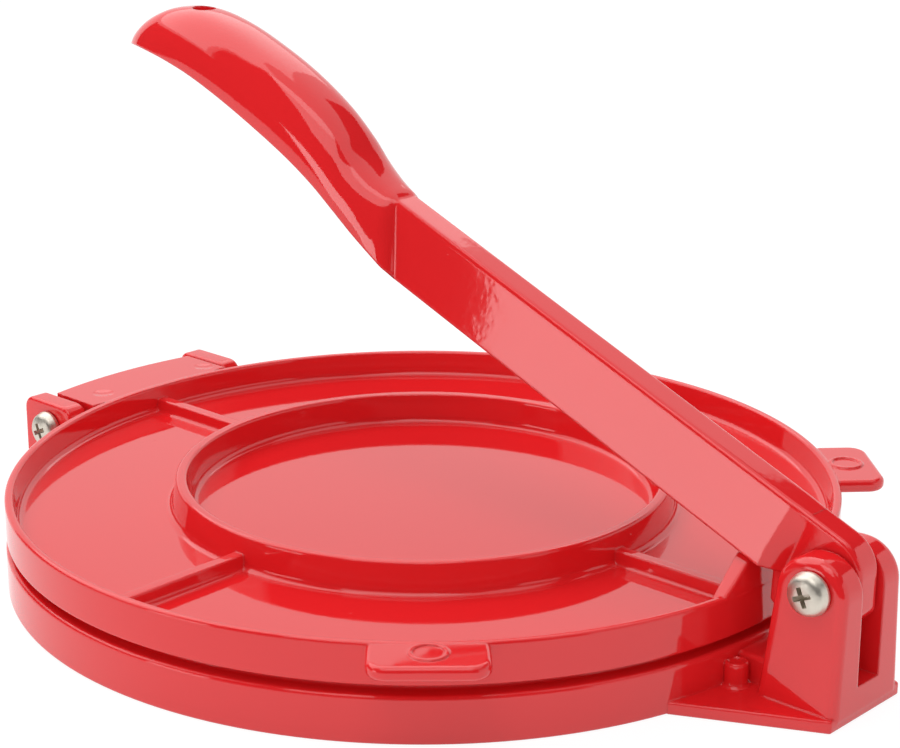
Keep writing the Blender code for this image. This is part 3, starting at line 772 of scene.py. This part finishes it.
def tab_solids(side):
    """A lift tab and the ring on it, to one side of the lever."""
    size = sizes("press_plate")
    top = plate_levels()[2] - tab_step
    half = size.tab_width / 2
    inner = size.radius - 3 * size.rim_land / 4
    outer = size.radius + size.tab_reach
    outline = eased_ring([
        (inner, -half, 0), (outer, -half, 0.0045), (outer, half, 0.0045), (inner, half, 0),
    ], 8)
    tab = bevelled(slab("lift_tab", outline, top - size.tab_thickness, top), 0.0013, 5)
    ring = turned("tab_ring", eased(tab_ring_corners, 4), ring_steps)
    moved(ring, x=tab_ring_place, z=top)
    return [spun(tab, side * size.tab_angle), spun(ring, side * size.tab_angle)]


def pad_solid():
    """The pad on the rim that the lever bears on, with slanting ends."""
    size = sizes("press_plate")
    _, floor, top = plate_levels()
    root = floor - size.web / 2
    outline = [
        (size.pad_foot, root),
        (size.pad_foot, top - size.edge),
        (size.pad_top, plate_high.z),
        (-size.pad_top, plate_high.z),
        (-size.pad_foot, top - size.edge),
        (-size.pad_foot, root),
    ]
    pad = spun(upright(slab("contact_pad", outline, -pad_blank, pad_blank)), math.pi / 2)
    moved(pad, x=size.radius - size.rim_land - pad_depth + pad_blank)
    trim = rod("pad_trim", size.radius - flush_step, 0, 0.05, turning_steps())
    combined(pad, [trim], "INTERSECT")
    return bevelled(pad, 0.0006, 3)


def make_upper_plate(material):
    size = sizes("press_plate")
    floor = plate_levels()[1]
    plate = turned("plate_casting", plate_section(), turning_steps())
    rib_end = size.radius - size.rim_land / 2
    rib_top = floor + size.rib_height
    tools = four_ribs("plate_rib", rib_end, floor, rib_top, size.rib_width / 2, plate_rib_flare)
    tools += [knuckle_solid(), *tab_solids(-1), *tab_solids(1), pad_solid()]
    combined(plate, tools, "UNION")
    moved(plate, x=disc_x())
    combined(plate, [pin_bore("knuckle_bore", hinge_pin)], "DIFFERENCE")
    return finished(plate, "plate_body", "upper_plate", material)


# Lever

# Down the grip: share of the lever's length, then the height of its crown and of its lower edge
# as shares of the grip's rise, its width as a share of the grip's half width, how far its section
# has gone from the beam's wedge to the grip's arch, and how far the section leans
grip_shares = (
    (0.5560, 0.430, -0.268, 0.645, 0.00, 0.62),
    (0.5600, 0.446, -0.225, 0.745, 0.45, 0.64),
    (0.5660, 0.455, -0.200, 0.800, 0.70, 0.62),
    (0.5760, 0.462, -0.160, 0.830, 0.82, 0.58),
    (0.6000, 0.490, -0.065, 0.885, 0.95, 0.42),
    (0.6300, 0.560, 0.050, 0.925, 1.00, 0.22),
    (0.6620, 0.690, 0.150, 0.950, 1.00, 0.06),
    (0.7050, 0.835, 0.235, 0.975, 1.00, 0.00),
    (0.7600, 0.930, 0.295, 1.000, 1.00, 0.00),
    (0.8150, 0.953, 0.320, 1.000, 1.00, 0.00),
    (0.8620, 0.934, 0.310, 0.985, 1.00, 0.00),
    (0.9050, 0.850, 0.250, 0.930, 1.00, 0.00),
    (0.9400, 0.680, 0.160, 0.820, 1.00, 0.00),
    (0.9650, 0.450, 0.070, 0.670, 1.00, 0.00),
    (0.9830, 0.190, -0.030, 0.440, 1.00, 0.00),
    (0.9930, -0.020, -0.105, 0.190, 1.00, 0.00),
)

# Stations down the grip, and how far they crowd towards both of its ends
station_count = 84
crowding = 0.7

# Places along the lever, from its pin: where the beam starts, where its channel starts and leaves
# its straight part, and where the beam starts to lean towards the grip
beam_start = 0.0157
channel_start = 0.0217
channel_straight_end = 0.130
lean_start = 0.09
beam_lean = 0.6

# Rows of the channel under the grip, as shares of the lever's length
channel_grip_start, channel_grip_step, channel_grip_rows = 0.60, 0.028, 13

# The grip's arch is a little fuller than an ellipse: powers of its width and of its height
arch_width_power, arch_height_power = 0.8, 0.9

# The tongue from its pin: nose centre along the beam and points on its arc, foot below the pin
# and front ahead of it
nose_along = 0.0026
nose_points = 18
tongue_foot = 0.0110
tongue_front = 0.0162

# The hanging hole: from the tip, and how far its cutter reaches up and down
hole_inset = 0.0205
hole_reach = 0.02


def lever_point(along, above):
    """A place on the lever as (x, z) in the frame."""
    turn = sizes("press_lever").angle
    x = lever_pin.x - along * math.cos(turn) + above * math.sin(turn)
    z = lever_pin.z + along * math.sin(turn) + above * math.cos(turn)
    return x, z


def between(rows, along, column):
    """A column of the station table at a place along, on a smooth curve through its rows."""
    last = len(rows) - 1
    index = max(0, min(last - 1, sum(1 for row in rows if row[0] <= along) - 1))
    a, b = rows[index], rows[index + 1]
    before = rows[max(index - 1, 0)]
    after = rows[min(index + 2, last)]
    span = b[0] - a[0]
    t = (along - a[0]) / span
    slope_a = (b[column] - before[column]) / (b[0] - before[0]) * span
    slope_b = (after[column] - a[column]) / (after[0] - a[0]) * span
    h1 = 2 * t ** 3 - 3 * t ** 2 + 1
    h2 = t ** 3 - 2 * t ** 2 + t
    h3 = -2 * t ** 3 + 3 * t ** 2
    h4 = t ** 3 - t ** 2
    return h1 * a[column] + h2 * slope_a + h3 * b[column] + h4 * slope_b


def grip_station(place):
    """Grip at a share of the length: along, foot and top half width, low, high, arched, lean."""
    size = sizes("press_lever")
    columns = range(1, len(grip_shares[0]))
    crown, edge, width, arched, lean = (between(grip_shares, place, column) for column in columns)
    half = size.grip_width * width
    return (
        size.length * place, half, half * size.top / size.foot,
        size.grip_rise * edge, size.grip_rise * crown, min(1.0, max(0.0, arched)), lean,
    )


def grip_stations():
    """Stations from the junction to the tip, closer together at both ends."""
    first, last = grip_shares[0][0], grip_shares[-1][0]
    stations = []
    for step in range(station_count + 1):
        even = step / station_count
        crowded = (1 - math.cos(math.pi * even)) / 2
        place = (1 - crowding) * even + crowding * crowded
        stations.append(grip_station(first + (last - first) * place))
    return stations


def half_section(foot_half, top_half, low, high, arched, points=14, ease=0.0014):
    """(y, above) from the foot of one side up to the middle, part wedge and part arch."""
    wedge = eased([(foot_half, low, 0), (top_half, high, ease), (-top_half, high, 0)], 5)[:-1]
    lengths = [0.0]
    for before, after in zip(wedge, wedge[1:]):
        lengths.append(lengths[-1] + (after - before).length)
    total = lengths[-1] + wedge[-1].x
    result = []
    for index in range(points - 1):
        t = index / (points - 1)
        turn = math.pi / 2 * t
        arch_y = foot_half * math.cos(turn) ** arch_width_power
        arch_z = low + (high - low) * math.sin(turn) ** arch_height_power
        wedge_y, wedge_z = along_path(wedge, lengths, wedge_distance(t, lengths, total), high)
        result.append((wedge_y + (arch_y - wedge_y) * arched, wedge_z + (arch_z - wedge_z) * arched))
    return [*result, (0.0, high)]


def wedge_distance(t, lengths, total):
    """Spacing of the points along the wedge: few on its flat side and most round its edge."""
    marks = ((0.0, 0.0), (0.30, lengths[1]), (0.85, lengths[-1]), (1.0, total))
    for (t0, d0), (t1, d1) in zip(marks, marks[1:]):
        if t <= t1:
            return d0 + (d1 - d0) * (t - t0) / (t1 - t0)
    return total


def along_path(path, lengths, distance, high):
    """The point at a distance along a path, which goes on level towards the middle."""
    for index in range(len(path) - 1):
        if distance <= lengths[index + 1]:
            part = (distance - lengths[index]) / (lengths[index + 1] - lengths[index])
            point = path[index].lerp(path[index + 1], part)
            return point.x, point.y
    return path[-1].x - (distance - lengths[-1]), high


def lever_loft(name, sections, tip=None):
    """A closed solid through (along, lean, half section) rows, mirrored about y = 0."""
    rows = []
    for along, lean, half in sections:
        row = []
        for y, above in [(-y, above) for y, above in half] + half[-2::-1]:
            x, z = lever_point(along + lean * above, above)
            row.append((x, y, z))
        rows.append(row)
    return through(name, rows, tip)


def lever_body():
    """Beam and grip as one solid; the first section tapers into the tongue."""
    size = sizes("press_lever")
    neck = half_section(size.top * 1.001, size.top, -size.drop, size.rise, 0)
    beam = half_section(size.foot, size.top, -size.drop, size.rise, 0)
    sections = [(beam_start - 0.0045, 0, neck), (beam_start, 0, beam), (beam_start + 0.0005, 0, beam)]
    first_grip = size.length * grip_shares[0][0]
    for along in (0.05, lean_start, 0.12, first_grip - 0.0025, first_grip - 0.0005):
        lean = beam_lean * max(0.0, (along - lean_start) / (first_grip - lean_start))
        sections.append((along, lean, beam))
    for along, foot, top, low, high, arched, lean in grip_stations():
        sections.append((along, lean, half_section(foot, top, low, high, arched)))
    x, z = lever_point(size.length, size.grip_rise * (grip_shares[-1][2] - 0.01))
    return lever_loft("lever_casting", sections, (x, 0, z))


def lever_hollow():
    """The channel under beam and grip, which leaves one wall thickness."""
    size = sizes("press_lever")
    beam = (size.foot, size.top, -size.drop, size.rise, 0, 0)
    rows = [(channel_start, *beam), (channel_straight_end, *beam)]
    for step in range(channel_grip_rows):
        rows.append(grip_station(channel_grip_start + channel_grip_step * step))
    sections = []
    for along, foot, top, low, high, arched, lean in rows:
        if foot <= 2 * size.wall or high - low <= 2 * size.wall:
            continue
        inner_top = top * (foot - size.wall) / foot / 2
        half = half_section(foot - size.wall, inner_top, low, high - size.wall, arched, ease=0.0008)
        half[0] = (half[0][0], low - size.wall)
        sections.append((along, lean, half))
    return lever_loft("lever_channel", sections)


def tongue_solid():
    """Flat tongue between the clevis ears: nose over the pin, foot below and a root in the beam."""
    size = sizes("press_lever")
    turn = size.angle
    skin = size.wall / 2
    back = size.rise - flush_step
    corners = [lever_point(channel_start, size.rise - skin), lever_point(0.0160, back)]
    nose_x, nose_z = lever_point(nose_along, back - size.nose)
    for step in range(nose_points + 1):
        here = (math.pi / 2 - turn) * (1 - step / nose_points)
        corners.append((nose_x + size.nose * math.cos(here), nose_z + size.nose * math.sin(here)))
    foot = lever_pin.z - tongue_foot
    front = lever_pin.x - tongue_front
    joint_along = (tongue_front - size.drop * math.sin(turn)) / math.cos(turn)
    corners += [
        (nose_x + size.nose, lever_pin.z - 0.0068),
        (lever_pin.x + 0.0026, foot),
        (front + 0.0035, foot),
        (front, foot + 0.0020),
        lever_point(joint_along, skin - size.drop),
        lever_point(channel_start, skin - size.drop),
    ]
    return bevelled(upright(slab("tongue", corners, -size.tongue, size.tongue)), 0.0011, 4)


def make_lever(material):
    size = sizes("press_lever")
    lever = combined(lever_body(), [tongue_solid()], "UNION")
    hole = rod("hanging_hole", size.hole, -hole_reach, hole_reach, ring_steps)
    x, z = lever_point(size.length - hole_inset, size.grip_rise)
    moved(hole, x, 0, z)
    combined(lever, [pin_bore("tongue_bore", lever_pin), hole, lever_hollow()], "DIFFERENCE")
    return finished(lever, "lever_body", "lever", material)


# Bolts

# The pan head in shares of its radius and height, with the ease of each corner
head_corners = (
    (0, 1, 0), (0.45, 0.99, 0.004), (0.86, 0.80, 0.0020), (1, 0.25, 0.0010), (0.985, 0, 0.0002),
)

# Levels of the driver recess from the top of the head, with the reach and half width of its arms
recess_levels = ((-0.0023, 0.0011, 0.00035), (0, 0.0024, 0.0006), (0.001, 0.0029, 0.0007))
recess_turn = math.radians(24)

# Thread: turns, root as a share of the shank's radius, and the chamfer at its end
thread_turns = 6
thread_root = 0.86
thread_chamfer = 0.0006

# Height of the collar that holds a nut's locking ring
nut_collar = 0.0010


def bolt_section(shank):
    """Half section of a pan head bolt: domed head above z = 0, shank below, thread at its end."""
    size = sizes("press_bolts")
    head = [(size.head * out, size.head_height * up, ease) for out, up, ease in head_corners]
    points = eased([*head, (size.radius, 0, 0)], 6)
    root = size.radius * thread_root
    start = -shank + thread_chamfer + thread_turns * size.pitch
    points.append(Vector((size.radius, start)))
    for turn in range(thread_turns):
        top = start - turn * size.pitch
        for radius, share in ((root, 0.45), (root, 0.55), (size.radius, 0.95)):
            points.append(Vector((radius, top - size.pitch * share)))
    points.append(Vector((size.radius - thread_chamfer, -shank)))
    points.append(Vector((0, -shank)))
    return points


def cross_recess():
    """Tapered cross of the driver recess, open upwards."""
    high = sizes("press_bolts").head_height
    rows = []
    for level, reach, half in recess_levels:
        rows.append([(x, y, high + level) for x, y in rectangle(-reach, reach, half)])
    arms = [spun(through("recess_arm", rows), quarter * math.pi / 2) for quarter in range(2)]
    return combined(arms[0], arms[1:], "UNION")


def lock_nut(name):
    """Hexagon with chamfered corners and the round collar that holds its locking ring."""
    size = sizes("press_bolts")
    height = size.nut_height - nut_collar
    half = size.flats / 2
    nut = slab(name, hexagon(size.flats), 0, height)
    cone = turned("nut_chamfer", [
        (0, height + 0.001), (half - 0.0015, height + 0.001), (half + 0.0030, height - 0.0012),
        (half + 0.0030, 0.0010), (half, -0.0003), (0, -0.0003),
    ], ring_steps)
    combined(nut, [cone], "INTERSECT")
    collar = turned("nut_collar", eased([
        (0, size.nut_height - 0.0002, 0),
        (0.0030, size.nut_height - 0.0002, 0),
        (0.0031, size.nut_height, 0.0001),
        (0.0035, size.nut_height - 0.0001, 0.0004),
        (0.0037, height - 0.0003, 0),
        (0, height - 0.0003, 0),
    ], 4), ring_steps)
    combined(nut, [collar], "UNION")
    bore = rod("nut_bore", size.radius + 0.0001, -0.01, 0.01, ring_steps)
    return combined(nut, [bore], "DIFFERENCE")


def flat_washer(name):
    size = sizes("press_bolts")
    hole = size.radius + bore_clearance
    return turned(name, eased([
        (hole, size.washer_thickness, 0),
        (size.washer, size.washer_thickness, 0.0002),
        (size.washer, 0, 0.0002),
        (hole, 0, 0),
        (hole, size.washer_thickness, 0),
    ], 3), ring_steps)


def fitted(piece, pin, y, turn, node, material):
    """Stand a piece made along Z on its pin: its +Z to -Y for turn 1, or to +Y for turn -1."""
    spun(piece, turn * math.pi / 2, "X")
    moved(piece, pin.x, y, pin.z)
    return finished(piece, "base_body", node, material)


def make_fasteners(material):
    """Both bolts and nuts and the washer, at the places that the frame's own solids have."""
    for label, pin in (("lever", lever_pin), ("hinge", hinge_pin)):
        low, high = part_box(f"{label}_bolt")
        seat = -low.y - sizes("press_bolts").head_height
        bolt = turned(f"{label}_pin_bolt", bolt_section(high.y + seat), bolt_steps)
        combined(bolt, [cross_recess()], "DIFFERENCE")
        fitted(spun(bolt, recess_turn), pin, -seat, 1, f"{label}_bolt", material)
        nut_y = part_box(f"{label}_lock_nut")[0].y
        fitted(lock_nut(f"{label}_hex_lock_nut"), pin, nut_y, -1, f"{label}_lock_nut", material)
    washer_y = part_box("hinge_washer")[0].y
    fitted(flat_washer("hinge_flat_washer"), hinge_pin, washer_y, -1, "hinge_washer", material)


# Stage

# Softboxes: place, aim, width, height, radiance, and whether the gloss of the press mirrors them
softboxes = {
    "softbox_top": ((0.25, -0.55, 1.35), (0, 0, 0), 0.9, 0.9, 1.7, True),
    "softbox_high": ((-0.8, 0.1, 1.1), (0, 0, 0.05), 1.2, 0.8, 2.6, False),
    "softbox_left": ((-0.4225, -1.20, 0.20), (-0.20, 0, 0.10), 0.41, 0.36, 3.2, True),
}

# Painted reflections: sheets of even glow that only the gloss of the press sees. Material name,
# brightness, first and last angle round the press in degrees, height and distance of the lower edge, then
# of the upper edge. The dark sheets paint dark reflections that keep the reds deep, and the bright sheet
# paints a highlight on the grip's crown. None shows to the camera, gives diffuse light or casts a shadow
painted_reflection_sheets = {
    "painted_dark_reflection_front": ("black_velvet", 0.04, -178, -5, (0.0, 2.2), (1.05, 2.2)),
    "painted_dark_reflection_high": ("black_felt", 0.04, -128, -5, (1.05, 2.2), (2.4, 0.9)),
    "painted_dark_reflection_right": ("black_cotton", 0.04, -5, 97, (1.35, 2.2), (2.2, 1.7)),
    "painted_bright_reflection_high": ("white_card", 2.1, 112, 229, (0.96, 1.75), (2.1, 0.5)),
}
sheet_steps = 36

# The white paper sweep's own glow, and how much of it shows to the eye; light of the studio
paper_glow = 1.12
paper_glow_share = 0.8
ambient_light = 0.57

# The photograph's viewpoint
camera_place = (0.35280, -0.38011, 0.21498)
camera_forward = Vector((-0.64362, 0.70262, -0.30348))
camera_right = Vector((0.73657, 0.67635, 0.00378))


def seen_directly(tree):
    """1 for camera, glossy and transmission rays, which see the pale studio as it is."""
    path = add_node(tree, "ShaderNodeLightPath")
    seen = path.outputs["Is Camera Ray"]
    for kind in ("Is Glossy Ray", "Is Transmission Ray"):
        links = {0: seen, 1: path.outputs[kind]}
        seen = add_node(tree, "ShaderNodeMath", {"operation": "MAXIMUM"}, links).outputs[0]
    return seen


def floor_material():
    """Matt white paper sweep: near white to the eye, and it keeps a faint shadow."""
    material, tree = new_material("white_paper_sweep")
    paper = add_node(tree, "ShaderNodeBsdfDiffuse", {"Color": linear("FAFAFA")})
    glow = add_node(tree, "ShaderNodeEmission", {"Color": linear("FFFFFF"), "Strength": paper_glow})
    links = {0: seen_directly(tree)}
    part = add_node(tree, "ShaderNodeMath", {"operation": "MULTIPLY", 1: paper_glow_share}, links)
    links = {0: part.outputs[0], 1: paper.outputs[0], 2: glow.outputs[0]}
    mixed = add_node(tree, "ShaderNodeMixShader", None, links)
    add_node(tree, "ShaderNodeOutputMaterial", None, {"Surface": mixed.outputs[0]})
    return material


def make_floor():
    half, below = 6.0, -0.0001
    work = bmesh.new()
    work.faces.new([work.verts.new((x, y, below)) for x, y in rectangle(-half, half, half)])
    floor = from_work("studio_floor", work)
    floor.data.materials.append(floor_material())


def make_world():
    world = bpy.data.worlds.new("white_studio")
    bpy.context.scene.world = world
    world.use_nodes = True
    tree = world.node_tree
    tree.nodes.clear()
    white = linear("FFFFFF")
    ambient = add_node(tree, "ShaderNodeBackground", {"Color": white, "Strength": ambient_light})
    seen = add_node(tree, "ShaderNodeBackground", {"Color": white, "Strength": 1.0})
    links = {0: seen_directly(tree), 1: ambient.outputs[0], 2: seen.outputs[0]}
    mixed = add_node(tree, "ShaderNodeMixShader", None, links)
    add_node(tree, "ShaderNodeOutputWorld", None, {"Surface": mixed.outputs[0]})


def add_softbox(name, place, aim, width, height, radiance, mirrored):
    """An area lamp of an even radiance, pointed at aim."""
    lamp = bpy.data.lights.new(name, "AREA")
    lamp.shape = "RECTANGLE"
    lamp.size = width
    lamp.size_y = height
    lamp.energy = radiance * math.pi * width * height
    softbox = new_object(name, lamp)
    softbox.location = place
    softbox.rotation_mode = "QUATERNION"
    softbox.rotation_quaternion = (Vector(aim) - Vector(place)).to_track_quat("-Z", "Y")
    softbox.visible_camera = False
    softbox.visible_glossy = mirrored


def arc_strip(name, first, last, lower, upper):
    """A strip hung round an arc in degrees; an edge is (height, distance)."""
    work = bmesh.new()
    before = None
    for step in range(sheet_steps + 1):
        turn = math.radians(first + (last - first) * step / sheet_steps)
        foot, head = (
            work.verts.new((reach * math.cos(turn), reach * math.sin(turn), height))
            for height, reach in (lower, upper)
        )
        if before:
            work.faces.new((before[0], foot, head, before[1]))
        before = (foot, head)
    return from_work(name, work)


def add_painted_reflection(name, glow_name, strength, *shape):
    """A sheet of one even glow that only the gloss sees: a painted reflection, not a lamp."""
    glow_sheet = arc_strip(name, *shape)
    material, tree = new_material(glow_name)
    # Even glow that only glossy rays see: a painted reflection, dark at low strength and bright at high
    surface = add_node(tree, "ShaderNodeEmission", {"Color": linear("FFFFFF"), "Strength": strength})
    add_node(tree, "ShaderNodeOutputMaterial", None, {"Surface": surface.outputs[0]})
    glow_sheet.data.materials.append(material)
    glow_sheet.visible_camera = False
    glow_sheet.visible_diffuse = False
    glow_sheet.visible_shadow = False
    glow_sheet.visible_transmission = False


def make_camera():
    """Camera at the photograph's place: 88 mm on a 36 mm wide sensor."""
    data = bpy.data.cameras.new("camera")
    data.sensor_width = 36.0
    data.lens = 88.0
    data.clip_start = 0.01
    data.clip_end = 50.0
    camera = new_object("camera", data)
    up = camera_right.cross(camera_forward)
    turn = Matrix((camera_right, up, -camera_forward)).transposed().to_4x4()
    camera.matrix_world = Matrix.Translation(camera_place) @ turn
    bpy.context.scene.camera = camera


def make_stage():
    make_floor()
    make_world()
    for name, setting in softboxes.items():
        add_softbox(name, *setting)
    # Sheets that paint dark reflections and a bright highlight into the gloss of the press
    for name, setting in painted_reflection_sheets.items():
        add_painted_reflection(name, *setting)
    make_camera()
    bpy.context.scene.view_settings.view_transform = "Standard"


# Operators and panel


class PRESS_OT_base(Operator):
    """Make the lower casting with its clevis and hinge ears"""

    bl_idname = "press.make_base"
    bl_label = "Make base"

    def execute(self, context):
        make_base(enamel_material("red_enamel_base", plate_peel))
        return {"FINISHED"}


class PRESS_OT_upper_plate(Operator):
    """Make the upper casting with its ring, ribs, tabs, pad and knuckle"""

    bl_idname = "press.make_upper_plate"
    bl_label = "Make upper plate"

    def execute(self, context):
        make_upper_plate(enamel_material("red_enamel_plate", plate_peel))
        return {"FINISHED"}


class PRESS_OT_lever(Operator):
    """Make the lever with its tongue, beam and grip"""

    bl_idname = "press.make_lever"
    bl_label = "Make lever"

    def execute(self, context):
        make_lever(enamel_material("red_enamel_lever", lever_peel))
        return {"FINISHED"}


class PRESS_OT_fasteners(Operator):
    """Make both pin bolts with their lock nuts, and the hinge's washer"""

    bl_idname = "press.make_fasteners"
    bl_label = "Make fasteners"

    def execute(self, context):
        make_fasteners(nickel_material("nickel_plated_steel"))
        return {"FINISHED"}


class PRESS_OT_stage(Operator):
    """Make the pale floor, the soft lamps, the sheets of painted reflection and the camera"""

    bl_idname = "press.make_stage"
    bl_label = "Make stage"

    def execute(self, context):
        make_stage()
        return {"FINISHED"}


class PRESS_PT_sidebar(Panel):
    """Lists the sizes, the finishes and the makers of the press"""

    bl_idname = "PRESS_PT_sidebar"
    bl_label = "Tortilla Press"
    bl_space_type = "VIEW_3D"
    bl_region_type = "UI"
    bl_category = "Tortilla Press"

    def draw(self, context):
        for name, group in property_groups.items():
            self.layout.label(text=group.__doc__)
            for key in group.__annotations__:
                self.layout.prop(getattr(context.scene, name), key)
        for operator in operators:
            self.layout.operator(operator.bl_idname)


operators = (PRESS_OT_stage, PRESS_OT_base, PRESS_OT_upper_plate, PRESS_OT_lever, PRESS_OT_fasteners)
property_groups = {
    "press_base": BaseSizes,
    "press_plate": PlateSizes,
    "press_lever": LeverSizes,
    "press_bolts": BoltSizes,
    "press_finish": Finish,
}


def register():
    for name, group in property_groups.items():
        bpy.utils.register_class(group)
        setattr(bpy.types.Scene, name, PointerProperty(type=group))
    for operator in operators:
        bpy.utils.register_class(operator)
    bpy.utils.register_class(PRESS_PT_sidebar)


def unregister():
    bpy.utils.unregister_class(PRESS_PT_sidebar)
    for operator in reversed(operators):
        bpy.utils.unregister_class(operator)
    for name, group in property_groups.items():
        delattr(bpy.types.Scene, name)
        bpy.utils.unregister_class(group)


def main():
    register()
    bpy.ops.press.make_stage()
    bpy.ops.press.make_base()
    bpy.ops.press.make_upper_plate()
    bpy.ops.press.make_lever()
    bpy.ops.press.make_fasteners()


if __name__ == "__main__":
    main()
